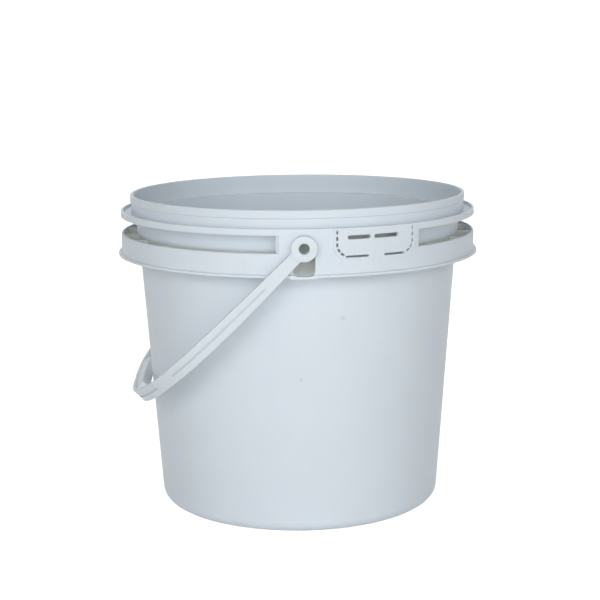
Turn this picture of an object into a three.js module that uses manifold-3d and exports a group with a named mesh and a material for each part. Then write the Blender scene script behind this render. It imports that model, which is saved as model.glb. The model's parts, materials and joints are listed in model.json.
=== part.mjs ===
// A round plastic pail with a snap-in swing handle, in millimetres, +Z up.
// Origin: the centre of the foot ring, on the surface that the pail stands on.
// The handle's pivot axis is the Y axis direction; -Y is the side with the tear-off tab.
import * as THREE from 'three';
import { mergeVertices } from 'three/addons/utils/BufferGeometryUtils.js';
import Module from 'manifold-3d';

const wasm = await Module();
wasm.setup();

// Body shell
const PAIL_HEIGHT = 199.6;
const BASE_RADIUS = 89.8; // outer wall carried down to the floor line
const WALL_TAPER = 0.0707; // growth of the radius for each millimetre of height
const WALL = 1.5;
const BASE_FILLET = 7.5;
const FOOT_RING_INNER = 77;
const FOOT_RECESS = 2;
const FOOT_SLOPE = 1.5;
const FLOOR_THICKNESS = 1.8;
const PARTING_HEIGHT = 175.6;
const PARTING_STEP = 0.5; // the wall stands out above the parting line
const INNER_LEDGE_DROP = 0.5; // the ledge inside lies below the flange's top face

// Rim above the flange
const NECK_RADIUS = 106.3;
const BEAD_STEP = 0.6;
const BEAD_HEIGHT = 4.5;
const RIM_ROUND = 0.7;

// Flange, band and lower lip
const BAND_RADIUS = 113;
const BAND_THICKNESS = 1.6;
const BAND_BOTTOM = 161.6;
const BAND_TOP = 175.5;
const BAND_EASE_DEPTH = 0.7; // the band's free top edge is eased, measured inwards
const BAND_EASE_HEIGHT = 1.5;
const FLANGE_UNDERSIDE = 185.9;
const FLANGE_THICKNESS = 1.5;
const FLANGE_LIP_HEIGHT = 2.3;
const LOWER_LIP = 2;
const LOWER_LIP_HEIGHT = 1.4;

// Closed panels that carry the pivots, each with a rib at either end
const PANEL_FROM = -7.4; // degrees to the left of the pivot
const PANEL_TO = 37.1;
const WEB_THICKNESS = 1.4;
const WEB_INSET = 1.6; // each end web stands inside its window's end
const RIB_THICKNESS = 1.2;
const RIB_PITCH = 16; // degrees
const RIB_DROP = 0.8; // the ribs' tops lie below the band's top edge

// Pivot
const PIVOT_HEIGHT = 178.7;
const PIN_RADIUS = 4.2;
const PIN_CLEARANCE = 0.3;
const PIN_BORE_RADIUS = 3.1;
const PIN_REACH = 4.2; // behind the panel
const BARB_HEIGHT = 1;
const BARB_LENGTH = 2.2;
const PIN_SLOT = 1.2;
const DISC_RADIUS = 7.6;
const DISC_THICKNESS = 3.4;
const DISC_EDGE = 0.5; // chamfer round the disc's outer face
const BOSS_RADIUS = 8.15;
const BOSS_RAISE = 0.6;
const BOSS_BELOW_LIP = 0.8;

// Cut-out below each pivot
const CUTOUT_WIDTH = 12.8;
const CUTOUT_CORNER = 3.4;
const CUTOUT_SILL = 1.5; // border left below the opening
const CUTOUT_COLLAR = 2.1; // left round the pivot hole, where the opening runs up beside it
const CUTOUT_TOP = 3.5; // from the pivot axis down to the opening's top

// Tear-off tab on the front panel
const TAB_FROM = 8.6;
const TAB_TO = 35.9;
const TAB_BOTTOM = 171.2;
const TAB_CORNER = 8;
const TAB_RAISE = 0.65;
const TEAR_INSET = 1.9; // from the tab's edge to the line of perforations
const TEAR_CORNER = 7.5;
const TEAR_WIDTH = 1.3;
const TEAR_DASH = 2.5;
const TEAR_GAP = 1.2;
const TEAR_TOP_INSET = 2.4; // from the flange lip's top to the first dash's middle
const TEAR_BENDS = [31, 54]; // degrees round the corner at which its dashes lie
const BOTTOM_SLOT_LENGTH = 14.2;
const BOTTOM_LAND = 9.6; // left between the two bottom slots
const BOTTOM_LAND_OFFSET = -0.8; // the land's middle from the tab's middle
const FINGER_SLOT_LEFT = 14.2;
const FINGER_SLOT_RIGHT = 16.2;
const FINGER_SLOT_HEIGHT = 2.4;
const FINGER_LAND = 2.1; // left between the two finger slots
const FINGER_LAND_OFFSET = -3.4;
const FINGER_SLOT_BELOW_FLANGE = 1.7;

// Handle
const HOOP_REACH = 146.5; // from the pivot axis to the outer face
const HOOP_POWER = 2.8; // 2 is an ellipse, more is squarer
const STRAP_WIDTH = 9.4;
const STRAP_THICKNESS = 2.7;
const STRAP_EDGE = 0.5;
const ARM_PROUD = 0.7; // the arm's outer face over the disc's
const ARM_START = 7.7; // from the pivot axis to the arm's square end
const ARM_ROOT = 3; // how far the arm runs into the disc below its square end
const ARM_WIDTH = 7.3; // at the square end
const ARM_TAPER_END = 58; // reach at which the strap has its full width
const GRIP_HALF_LENGTH = 40;
const GRIP_DEPTH = 4.7;
const GRIP_WIDTH = 7.5;
const GRIP_EDGE = 1.2;
const GROOVE_WIDTH = 0.9;
const GROOVE_DEPTH = 0.6;
const GROOVE_START = 32; // from the pivot axis, measured along the reach
const GROOVE_END = 110;
const GRIP_GROOVE_HALF_LENGTH = 84;
const REST_CLEARANCE = 0.4; // between the grip and the wall when the handle hangs

// Roundness
const AROUND = 72;
const SMALL_AROUND = 24;
const HOOP_STEPS = 40;
const FILLET_STEPS = 6;
const EDGE_STEPS = 2; // round rims and softened edges
const SLOT_END_STEPS = 3;
const DEGREES_PER_STEP = 6; // in sectors cut out of rings
const WELD = 1e-4; // corners closer than this are one

const PAIL_FRONT = 0;
const PAIL_REAR = 180;
const OVERLAP = 0.4; // how deep joined solids run into each other
const CUT_PAST = 1; // how far a cutter runs past the band's inner face
const REACH_OUT = 8; // how far a cutter stands out of what it cuts

// Sizes that follow from those above
const BAND_INNER = BAND_RADIUS - BAND_THICKNESS;
const FLANGE_TOP = FLANGE_UNDERSIDE + FLANGE_THICKNESS;
const LIP_TOP = FLANGE_TOP + FLANGE_LIP_HEIGHT;
const BOSS_FACE = BAND_RADIUS + BOSS_RAISE;
const DISC_INNER_FACE = BOSS_FACE + PIN_CLEARANCE;
const DISC_OUTER_FACE = DISC_INNER_FACE + DISC_THICKNESS;
const HOOP_HALF_SPAN = DISC_OUTER_FACE + ARM_PROUD;
const TAB_FACE = BAND_RADIUS + TAB_RAISE;
const BOSS_BOTTOM = BAND_BOTTOM - BOSS_BELOW_LIP;

const wallRadius = (z) => BASE_RADIUS + WALL_TAPER * z;
const radians = THREE.MathUtils.degToRad;
const degrees = THREE.MathUtils.radToDeg;
const wallLean = degrees(Math.atan(WALL_TAPER));

// Solids

function toSolid(geometry) {
  const bare = geometry.index ? geometry.toNonIndexed() : geometry.clone();
  bare.deleteAttribute('normal');
  bare.deleteAttribute('uv');
  const merged = mergeVertices(bare, WELD);
  const corners = Array.from(merged.index.array);
  const triangles = [];
  for (let i = 0; i < corners.length; i += 3) {
    const [a, b, c] = corners.slice(i, i + 3);
    if (a !== b && b !== c && c !== a) triangles.push(a, b, c);
  }
  return new wasm.Manifold(new wasm.Mesh({
    numProp: 3,
    vertProperties: new Float32Array(merged.attributes.position.array),
    triVerts: new Uint32Array(triangles),
  }));
}

function toMesh(name, solid, material) {
  const { vertProperties, triVerts } = solid.getMesh();
  const geometry = new THREE.BufferGeometry();
  geometry.setAttribute('position', new THREE.BufferAttribute(vertProperties, 3));
  geometry.setIndex(new THREE.BufferAttribute(triVerts, 1));
  geometry.computeVertexNormals();
  const mesh = new THREE.Mesh(geometry, material);
  mesh.name = name;
  return mesh;
}

const joinAll = (solids) => solids.reduce((whole, solid) => whole.add(solid));
const cutAll = (solid, cutters) => cutters.reduce((rest, cutter) => rest.subtract(cutter), solid);

// A profile in [radius, height] pairs, turned about the vertical axis.
function revolve(profile) {
  const points = profile.map(([r, z]) => new THREE.Vector2(r, z));
  const geometry = new THREE.LatheGeometry(points, AROUND);
  geometry.rotateX(Math.PI / 2);
  return toSolid(geometry);
}

function ring(inner, outer, bottom, top) {
  return revolve([[inner, bottom], [outer, bottom], [outer, top], [inner, top], [inner, bottom]]);
}

function arc(cx, cz, radius, fromDeg, toDeg, steps) {
  return Array.from({ length: steps + 1 }, (_, i) => {
    const angle = radians(fromDeg + (toDeg - fromDeg) * i / steps);
    return [cx + radius * Math.cos(angle), cz + radius * Math.sin(angle)];
  });
}

// A flat outline in (sideways, height), pushed outwards from the axis at an azimuth.
function radialPrism(shape, azimuth, inner, outer) {
  const geometry = new THREE.ExtrudeGeometry(shape, {
    depth: outer - inner, bevelEnabled: false, curveSegments: SMALL_AROUND / 4,
  });
  geometry.translate(0, 0, inner);
  geometry.rotateX(Math.PI / 2);
  geometry.rotateZ(radians(azimuth));
  return toSolid(geometry);
}

// A pie slice between two azimuths, used to cut rings.
function sector(from, to, inner, outer, bottom, top) {
  const turn = -90;
  const shape = new THREE.Shape();
  shape.absarc(0, 0, outer, radians(from + turn), radians(to + turn), false);
  shape.absarc(0, 0, inner, radians(to + turn), radians(from + turn), true);
  shape.closePath();
  const geometry = new THREE.ExtrudeGeometry(shape, {
    depth: top - bottom, bevelEnabled: false, curveSegments: Math.ceil((to - from) / DEGREES_PER_STEP),
  });
  geometry.translate(0, 0, bottom);
  return toSolid(geometry);
}

function roundedRect(cx, cz, width, height, radius) {
  const [x, z] = [cx - width / 2, cz - height / 2];
  const shape = new THREE.Shape();
  shape.moveTo(x + radius, z);
  shape.lineTo(x + width - radius, z);
  shape.absarc(x + width - radius, z + radius, radius, -Math.PI / 2, 0, false);
  shape.lineTo(x + width, z + height - radius);
  shape.absarc(x + width - radius, z + height - radius, radius, 0, Math.PI / 2, false);
  shape.lineTo(x + radius, z + height);
  shape.absarc(x + radius, z + height - radius, radius, Math.PI / 2, Math.PI, false);
  shape.lineTo(x, z + radius);
  shape.absarc(x + radius, z + radius, radius, Math.PI, 1.5 * Math.PI, false);
  return shape;
}

// Pail body

function shellProfile() {
  const filletFoot = wallRadius(BASE_FILLET) - BASE_FILLET;
  const innerFillet = BASE_FILLET - WALL;
  const floorTop = FOOT_RECESS + FLOOR_THICKNESS;
  const neckInner = NECK_RADIUS - WALL;
  const beadRadius = NECK_RADIUS + BEAD_STEP;
  const ledge = FLANGE_TOP - INNER_LEDGE_DROP;
  const upperWall = wallRadius(FLANGE_UNDERSIDE) + PARTING_STEP;
  const innerWall = (z) => wallRadius(z) - WALL;
  const filletTop = floorTop + innerFillet;
  return [
    [0, FOOT_RECESS],
    [FOOT_RING_INNER - FOOT_SLOPE, FOOT_RECESS],
    [FOOT_RING_INNER, 0],
    ...arc(filletFoot, BASE_FILLET, BASE_FILLET, -90, -wallLean, FILLET_STEPS),
    [wallRadius(PARTING_HEIGHT), PARTING_HEIGHT],
    [wallRadius(PARTING_HEIGHT) + PARTING_STEP, PARTING_HEIGHT],
    [upperWall, FLANGE_UNDERSIDE],
    [BAND_RADIUS, FLANGE_UNDERSIDE],
    [BAND_RADIUS, LIP_TOP],
    [BAND_INNER, LIP_TOP],
    [BAND_INNER, FLANGE_TOP],
    [NECK_RADIUS, FLANGE_TOP],
    [NECK_RADIUS, PAIL_HEIGHT - BEAD_HEIGHT - BEAD_STEP],
    [beadRadius, PAIL_HEIGHT - BEAD_HEIGHT],
    ...arc(beadRadius - RIM_ROUND, PAIL_HEIGHT - RIM_ROUND, RIM_ROUND, 0, 90, EDGE_STEPS),
    ...arc(neckInner + RIM_ROUND, PAIL_HEIGHT - RIM_ROUND, RIM_ROUND, 90, 180, EDGE_STEPS),
    [neckInner, ledge],
    [innerWall(ledge), ledge],
    ...arc(innerWall(filletTop) - innerFillet, filletTop, innerFillet, -wallLean, -90, FILLET_STEPS),
    [0, floorTop],
  ];
}

// The band hangs from the flange; its foot turns out into the lower lip.
function bandRing() {
  const lip = BAND_RADIUS + LOWER_LIP;
  const lipTop = BAND_BOTTOM + LOWER_LIP_HEIGHT;
  return revolve([
    [BAND_INNER, BAND_BOTTOM],
    [lip, BAND_BOTTOM],
    [lip, lipTop],
    [BAND_RADIUS, lipTop + BAND_THICKNESS / 4],
    [BAND_RADIUS, FLANGE_UNDERSIDE + OVERLAP],
    [BAND_INNER, FLANGE_UNDERSIDE + OVERLAP],
    [BAND_INNER, BAND_BOTTOM],
  ]);
}

// The open windows run from one panel's end to the next panel's start.
const windowSpans = () => [PAIL_FRONT, PAIL_REAR].map((side) => [
  side + PANEL_TO, side + 180 + PANEL_FROM,
]);

// Each window, with the easing of the band's edge below it.
function windows() {
  const [outer, low] = [BAND_RADIUS + REACH_OUT, BAND_TOP - BAND_EASE_HEIGHT];
  const easing = revolve([
    [BAND_RADIUS, low], [outer, low], [outer, BAND_TOP + OVERLAP],
    [BAND_RADIUS - BAND_EASE_DEPTH, BAND_TOP + OVERLAP],
    [BAND_RADIUS - BAND_EASE_DEPTH, BAND_TOP], [BAND_RADIUS, low],
  ]);
  return windowSpans().flatMap(([from, to]) => [
    sector(from, to, NECK_RADIUS, outer, BAND_TOP, FLANGE_UNDERSIDE),
    easing.intersect(sector(from, to, NECK_RADIUS, outer, low, BAND_TOP + OVERLAP)),
  ]);
}

// A radial plate between the wall and the band; its inner edge follows the wall's taper.
function radialPlate(azimuth, thickness, bottom, top) {
  const outer = BAND_INNER + OVERLAP;
  const shape = new THREE.Shape();
  shape.moveTo(wallRadius(bottom) - OVERLAP, bottom);
  shape.lineTo(outer, bottom);
  shape.lineTo(outer, top);
  shape.lineTo(wallRadius(top) - OVERLAP, top);
  shape.closePath();
  const plate = new THREE.ExtrudeGeometry(shape, { depth: thickness, bevelEnabled: false });
  plate.translate(0, 0, -thickness / 2);
  plate.rotateX(Math.PI / 2);
  plate.rotateZ(radians(azimuth - 90));
  return toSolid(plate);
}

function endWebs() {
  return windowSpans().flat().map((azimuth, i) => {
    const inset = degrees((WEB_INSET + WEB_THICKNESS / 2) / BAND_INNER);
    const inside = i % 2 === 0 ? inset : -inset;
    return radialPlate(azimuth + inside, WEB_THICKNESS, BAND_BOTTOM, FLANGE_UNDERSIDE + OVERLAP);
  });
}

// Ribs at an even pitch in each window, centred between its ends.
function ribs() {
  return windowSpans().flatMap(([from, to]) => {
    const count = Math.floor((to - from) / RIB_PITCH);
    const first = (from + to - (count - 1) * RIB_PITCH) / 2;
    return Array.from({ length: count }, (_, i) => radialPlate(
      first + i * RIB_PITCH, RIB_THICKNESS, BAND_BOTTOM, BAND_TOP - RIB_DROP,
    ));
  });
}

// The raised border round each pivot hole and the cut-out below it.
function pivotBoss(side) {
  const outline = new THREE.Shape();
  outline.moveTo(-BOSS_RADIUS, BOSS_BOTTOM);
  outline.lineTo(BOSS_RADIUS, BOSS_BOTTOM);
  outline.lineTo(BOSS_RADIUS, PIVOT_HEIGHT);
  outline.absarc(0, PIVOT_HEIGHT, BOSS_RADIUS, 0, Math.PI, false);
  outline.closePath();
  const lip = BAND_RADIUS + LOWER_LIP;
  const lipTop = BAND_BOTTOM + LOWER_LIP_HEIGHT;
  const skin = revolve([
    [BAND_INNER, BOSS_BOTTOM],
    [lip, BOSS_BOTTOM],
    [lip, lipTop],
    [BOSS_FACE, lipTop + BAND_THICKNESS / 4],
    [BOSS_FACE, LIP_TOP - OVERLAP],
    [BAND_INNER, LIP_TOP - OVERLAP],
    [BAND_INNER, BOSS_BOTTOM],
  ]);
  return skin.intersect(radialPrism(outline, side, BAND_INNER - REACH_OUT, lip + REACH_OUT));
}

// A round peg through the band on the pivot axis.
function pivotPeg(side, radius) {
  const circle = new THREE.Shape();
  circle.absarc(0, PIVOT_HEIGHT, radius, 0, 2 * Math.PI, false);
  const geometry = new THREE.ExtrudeGeometry(circle, {
    depth: 2 * REACH_OUT, bevelEnabled: false, curveSegments: SMALL_AROUND,
  });
  geometry.translate(0, 0, BAND_INNER - CUT_PAST);
  geometry.rotateX(Math.PI / 2);
  geometry.rotateZ(radians(side));
  return toSolid(geometry);
}

const pivotHole = (side) => pivotPeg(side, PIN_RADIUS + PIN_CLEARANCE);

// The opening below the pivot; its top runs up on both sides of a collar round the hole.
function cutout(side) {
  const half = CUTOUT_WIDTH / 2;
  const bottom = BOSS_BOTTOM + CUTOUT_SILL;
  const top = PIVOT_HEIGHT - CUTOUT_TOP;
  const shape = new THREE.Shape();
  shape.moveTo(-half, top);
  shape.absarc(CUTOUT_CORNER - half, bottom + CUTOUT_CORNER, CUTOUT_CORNER, Math.PI, 1.5 * Math.PI);
  shape.absarc(half - CUTOUT_CORNER, bottom + CUTOUT_CORNER, CUTOUT_CORNER, 1.5 * Math.PI, 0);
  shape.lineTo(half, top);
  shape.closePath();
  const collar = pivotPeg(side, PIN_RADIUS + PIN_CLEARANCE + CUTOUT_COLLAR);
  return radialPrism(shape, side, BAND_INNER - CUT_PAST, BAND_RADIUS + REACH_OUT).subtract(collar);
}

// Tear-off tab

const tabMiddle = () => (TAB_FROM + TAB_TO) / 2;
const tabWidth = () => 2 * BAND_RADIUS * Math.sin(radians(TAB_TO - TAB_FROM) / 2);

function tabPlate() {
  const height = LIP_TOP - TAB_BOTTOM;
  const shape = roundedRect(
    0, TAB_BOTTOM + height / 2 + TAB_CORNER / 2, tabWidth(), height + TAB_CORNER, TAB_CORNER,
  );
  const skin = ring(BAND_INNER, TAB_FACE, TAB_BOTTOM, LIP_TOP);
  const inPanel = ring(BAND_INNER - REACH_OUT, BAND_INNER + OVERLAP, FLANGE_TOP, LIP_TOP + OVERLAP);
  const prism = radialPrism(shape, tabMiddle(), BAND_INNER - REACH_OUT, TAB_FACE + REACH_OUT);
  return skin.intersect(prism).subtract(inPanel);
}

// A slot through the band, lying along the band or turned to a slope.
function slotCutter(sideways, z, length, width, slope) {
  const azimuth = tabMiddle() + degrees(sideways / BAND_RADIUS);
  const shape = roundedRect(0, 0, length, width, width / 2 - WELD);
  const geometry = new THREE.ExtrudeGeometry(shape, {
    depth: 2 * REACH_OUT, bevelEnabled: false, curveSegments: SLOT_END_STEPS,
  });
  geometry.rotateZ(radians(slope));
  geometry.translate(0, z, BAND_INNER - CUT_PAST);
  geometry.rotateX(Math.PI / 2);
  geometry.rotateZ(radians(azimuth));
  return toSolid(geometry);
}

// Two slots side by side with a land between them.
function slotPair(z, left, right, land, landMiddle, height) {
  return [
    slotCutter(landMiddle - (land + left) / 2, z, left, height, 0),
    slotCutter(landMiddle + (land + right) / 2, z, right, height, 0),
  ];
}

// Dashes down both sides of the tab and round its lower corners, and slots along its bottom.
function tearLine() {
  const side = tabWidth() / 2 - TEAR_INSET;
  const bottom = TAB_BOTTOM + TEAR_INSET;
  const bendTop = bottom + TEAR_CORNER;
  const cutters = slotPair(
    bottom, BOTTOM_SLOT_LENGTH, BOTTOM_SLOT_LENGTH, BOTTOM_LAND, BOTTOM_LAND_OFFSET, TEAR_WIDTH,
  );
  for (let z = LIP_TOP - TEAR_TOP_INSET; z > bendTop - TEAR_DASH / 2; z -= TEAR_DASH + TEAR_GAP) {
    cutters.push(slotCutter(-side, z, TEAR_DASH, TEAR_WIDTH, 90));
    cutters.push(slotCutter(side, z, TEAR_DASH, TEAR_WIDTH, 90));
  }
  for (const bend of TEAR_BENDS) {
    const sideways = side - TEAR_CORNER * (1 - Math.cos(radians(bend)));
    const z = bendTop - TEAR_CORNER * Math.sin(radians(bend));
    cutters.push(slotCutter(sideways, z, TEAR_DASH, TEAR_WIDTH, 90 - bend));
    cutters.push(slotCutter(-sideways, z, TEAR_DASH, TEAR_WIDTH, 90 + bend));
  }
  return cutters;
}

function fingerSlots() {
  return slotPair(
    FLANGE_UNDERSIDE - FINGER_SLOT_BELOW_FLANGE, FINGER_SLOT_LEFT, FINGER_SLOT_RIGHT,
    FINGER_LAND, FINGER_LAND_OFFSET, FINGER_SLOT_HEIGHT,
  );
}

function pailBody() {
  const band = cutAll(bandRing(), windows());
  const bosses = [PAIL_FRONT, PAIL_REAR].map(pivotBoss);
  const whole = joinAll([
    revolve(shellProfile()), band, ...endWebs(), ...ribs(), ...bosses, tabPlate(),
  ]);
  const openings = [PAIL_FRONT, PAIL_REAR].flatMap((side) => [pivotHole(side), cutout(side)]);
  return cutAll(whole, [...openings, ...tearLine(), ...fingerSlots()]);
}

// Handle, modelled flat: X is the reach, Y runs along the pivot axis, Z is the strap's width.

// A point of the hoop's outline, set in from the outer face.
function hoopPoint(t, inset) {
  const power = 2 / HOOP_POWER;
  const reach = HOOP_REACH * Math.abs(Math.sin(t)) ** power;
  const across = -HOOP_HALF_SPAN * Math.sign(Math.cos(t)) * Math.abs(Math.cos(t)) ** power;
  const gradient = new THREE.Vector2(
    (reach / HOOP_REACH) ** (HOOP_POWER - 1) / HOOP_REACH,
    Math.sign(across) * Math.abs(across / HOOP_HALF_SPAN) ** (HOOP_POWER - 1) / HOOP_HALF_SPAN,
  ).normalize();
  return new THREE.Vector2(reach, across).addScaledVector(gradient, -inset);
}

const angleAtReach = (reach) => Math.asin((reach / HOOP_REACH) ** (HOOP_POWER / 2));
const angleAtSide = (across) => Math.acos((across / HOOP_HALF_SPAN) ** (HOOP_POWER / 2));

// The arms are narrower near the pivot than the rest of the strap.
function taperArms(geometry) {
  const { position } = geometry.attributes;
  for (let i = 0; i < position.count; i += 1) {
    const reach = THREE.MathUtils.clamp(position.getX(i), ARM_START, ARM_TAPER_END);
    const share = THREE.MathUtils.inverseLerp(ARM_START, ARM_TAPER_END, reach);
    const width = THREE.MathUtils.lerp(ARM_WIDTH, STRAP_WIDTH, share);
    position.setZ(i, position.getZ(i) * width / STRAP_WIDTH);
  }
}

// A curved bar that follows the hoop between two angles and two insets.
function hoopBar(from, to, insetOuter, insetInner, width, edge, steps) {
  const angles = Array.from({ length: steps + 1 }, (_, i) => from + (to - from) * i / steps);
  const outer = angles.map((t) => hoopPoint(t, insetOuter));
  const inner = angles.map((t) => hoopPoint(t, insetInner)).reverse();
  const geometry = new THREE.ExtrudeGeometry(new THREE.Shape([...outer, ...inner]), {
    depth: width - 2 * edge,
    bevelEnabled: edge > 0,
    bevelThickness: edge,
    bevelSize: edge,
    bevelOffset: -edge,
    bevelSegments: EDGE_STEPS,
  });
  geometry.translate(0, 0, edge - width / 2);
  taperArms(geometry);
  return toSolid(geometry);
}

function strap() {
  const start = angleAtReach(ARM_START - ARM_ROOT);
  return hoopBar(start, Math.PI - start, 0, STRAP_THICKNESS, STRAP_WIDTH, STRAP_EDGE, HOOP_STEPS);
}

function grip() {
  const start = angleAtSide(GRIP_HALF_LENGTH);
  const depth = STRAP_THICKNESS + GRIP_DEPTH;
  return hoopBar(
    start, Math.PI - start, STRAP_THICKNESS / 2, depth, GRIP_WIDTH, GRIP_EDGE, HOOP_STEPS / 4,
  );
}

// A shallow line down the middle of the outer face, left plain where the arms meet the grip.
function grooves() {
  const groove = (from, to) => hoopBar(
    from, to, -GROOVE_DEPTH, GROOVE_DEPTH, GROOVE_WIDTH, 0, HOOP_STEPS / 4,
  );
  const [near, far] = [angleAtReach(GROOVE_START), angleAtReach(GROOVE_END)];
  const middle = angleAtSide(GRIP_GROOVE_HALF_LENGTH);
  return [
    groove(near, far), groove(middle, Math.PI - middle), groove(Math.PI - far, Math.PI - near),
  ];
}

function cylinder(radius, from, to, radiusFrom = radius) {
  const geometry = new THREE.CylinderGeometry(radius, radiusFrom, to - from, SMALL_AROUND);
  geometry.translate(0, (from + to) / 2, 0);
  return toSolid(geometry);
}

// The disc, hollow pin and snap barb on the +Y side; the other side is its mirror image.
function pivotEnd() {
  const tip = BAND_INNER - PIN_REACH;
  const barbBack = BAND_INNER - PIN_CLEARANCE;
  const barb = cylinder(PIN_RADIUS + BARB_HEIGHT, barbBack - BARB_LENGTH, barbBack, PIN_RADIUS);
  const rim = DISC_OUTER_FACE - DISC_EDGE;
  const solid = joinAll([
    cylinder(DISC_RADIUS, DISC_INNER_FACE, rim),
    cylinder(DISC_RADIUS - DISC_EDGE, rim, DISC_OUTER_FACE, DISC_RADIUS),
    cylinder(PIN_RADIUS, tip, DISC_INNER_FACE + OVERLAP),
    barb,
  ]);
  const slotLength = barbBack - tip;
  const slot = (alongX, alongZ) => toSolid(
    new THREE.BoxGeometry(alongX, 2 * slotLength, alongZ).translate(0, tip, 0),
  );
  const wide = 2 * (PIN_RADIUS + BARB_HEIGHT) + REACH_OUT;
  const bore = cylinder(PIN_BORE_RADIUS, tip - REACH_OUT, DISC_OUTER_FACE + REACH_OUT);
  const armEnd = toSolid(new THREE.BoxGeometry(2 * ARM_START, REACH_OUT, 2 * STRAP_WIDTH)
    .translate(0, DISC_OUTER_FACE + REACH_OUT / 2, 0));
  return { solid, cutters: [bore, armEnd, slot(wide, PIN_SLOT), slot(PIN_SLOT, wide)] };
}

function handle() {
  const { solid, cutters } = pivotEnd();
  const mirror = (one) => one.mirror([0, 1, 0]);
  const whole = joinAll([strap(), grip(), solid, mirror(solid)]);
  return cutAll(whole, [...grooves(), ...cutters, ...cutters.map(mirror)]);
}

// The angle below horizontal at which the hanging handle's grip comes to rest by the wall.
function restAngle() {
  const reach = HOOP_REACH - STRAP_THICKNESS - GRIP_DEPTH;
  const half = GRIP_WIDTH / 2;
  const along = reach + WALL_TAPER * half;
  const across = WALL_TAPER * reach - half;
  const gap = wallRadius(PIVOT_HEIGHT) + REST_CLEARANCE;
  return Math.atan2(across, along) + Math.acos(gap / Math.hypot(along, across));
}

const bodyPlastic = new THREE.MeshStandardMaterial({
  color: 0xdfe5ea, roughness: 0.45, metalness: 0,
});
const handlePlastic = new THREE.MeshStandardMaterial({
  color: 0xe2e8ec, roughness: 0.4, metalness: 0,
});

const pail = new THREE.Group();
pail.add(toMesh('pail_body', pailBody(), bodyPlastic));

const swing = new THREE.Group();
swing.position.z = PIVOT_HEIGHT;
swing.rotation.y = Math.PI - restAngle();
swing.add(toMesh('handle', handle(), handlePlastic));
pail.add(swing);

export default pail;
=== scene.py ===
"""A white moulded pail with a snap-in swing handle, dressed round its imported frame."""
import json
import math

import bmesh
import bpy
from mathutils import Matrix, Vector


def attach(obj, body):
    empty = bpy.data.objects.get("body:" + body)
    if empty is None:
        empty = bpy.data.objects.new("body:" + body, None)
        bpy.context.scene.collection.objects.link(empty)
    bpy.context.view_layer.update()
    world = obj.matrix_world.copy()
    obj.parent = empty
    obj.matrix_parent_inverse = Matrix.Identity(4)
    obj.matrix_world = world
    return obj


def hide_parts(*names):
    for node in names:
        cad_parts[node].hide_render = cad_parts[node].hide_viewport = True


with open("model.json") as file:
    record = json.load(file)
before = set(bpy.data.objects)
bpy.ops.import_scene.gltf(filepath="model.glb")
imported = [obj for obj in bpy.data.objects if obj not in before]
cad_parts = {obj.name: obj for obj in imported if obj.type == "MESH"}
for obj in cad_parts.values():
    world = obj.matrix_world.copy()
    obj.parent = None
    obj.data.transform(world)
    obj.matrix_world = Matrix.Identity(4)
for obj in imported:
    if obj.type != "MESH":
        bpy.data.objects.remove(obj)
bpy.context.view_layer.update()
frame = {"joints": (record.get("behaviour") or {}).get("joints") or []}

MM = 0.001

# Shell; lengths are in millimetres, as on a mould drawing, unless a note says metres
PAIL_HEIGHT = 199.6
BASE_RADIUS = 89.8
WALL_TAPER = 0.0707
WALL = 1.5
BASE_FILLET = 7.5
FOOT_RING_INNER = 77.0
FOOT_SLOPE = 1.5
FOOT_RECESS = 2.0
FLOOR_THICKNESS = 1.8
PARTING_HEIGHT = 175.6
PARTING_STEP = 0.5
NECK_RADIUS = 106.3
BEAD_STEP = 0.6
BEAD_HEIGHT = 4.5
RIM_ROUND = 0.72
SOFT_EDGE = 0.3
SOFT_CORNER = 0.6

# Flange, band and lower lip
BAND_RADIUS = 113.0
BAND_THICKNESS = 1.6
BAND_BOTTOM = 161.6
BAND_TOP = 175.5
BAND_EASE_DEPTH = 0.8
BAND_EASE_HEIGHT = 1.6
FLANGE_UNDERSIDE = 185.9
FLANGE_THICKNESS = 1.5
FLANGE_LIP_HEIGHT = 2.3
LOWER_LIP = 2.0
LOWER_LIP_HEIGHT = 1.4
INNER_LEDGE_DROP = 0.5
BAND_INNER = BAND_RADIUS - BAND_THICKNESS
FLANGE_TOP = FLANGE_UNDERSIDE + FLANGE_THICKNESS
LIP_TOP = FLANGE_TOP + FLANGE_LIP_HEIGHT

# Pivot panels, windows and ribs, with angles in degrees round the pail from the pivot
SIDES = (0, 180)
PANEL_FROM = -7.4
PANEL_TO = 37.1
WINDOWS = [(side + PANEL_TO, side + 180 + PANEL_FROM) for side in SIDES]
WEB_THICKNESS = 1.4
WEB_INSET = 0.2
RIB_THICKNESS = 1.2
RIB_PITCH = 16
RIB_DROP = 0.8

# Pivot and cut-out
PIVOT_HEIGHT = frame["joints"][0]["pos_m"][2] / MM
PIN_RADIUS = 4.2
PIN_CLEARANCE = 0.3
PIN_BORE_RADIUS = 3.1
PIN_REACH = 4.2
PIN_SLOT = 1.2
BARB_HEIGHT = 1.0
BARB_LENGTH = 2.2
DISC_RADIUS = 7.6
DISC_THICKNESS = 3.4
DISC_EDGE = 0.6
BOSS_RADIUS = 8.15
BOSS_RAISE = 0.6
BOSS_BOTTOM = BAND_BOTTOM - 0.8
CUTOUT_WIDTH = 12.8
CUTOUT_CORNER = 3.4
CUTOUT_SILL = 1.5
CUTOUT_COLLAR = 2.1
CUTOUT_TOP = 3.5
DISC_INNER_FACE = BAND_RADIUS + BOSS_RAISE + PIN_CLEARANCE
DISC_OUTER_FACE = DISC_INNER_FACE + DISC_THICKNESS

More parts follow.
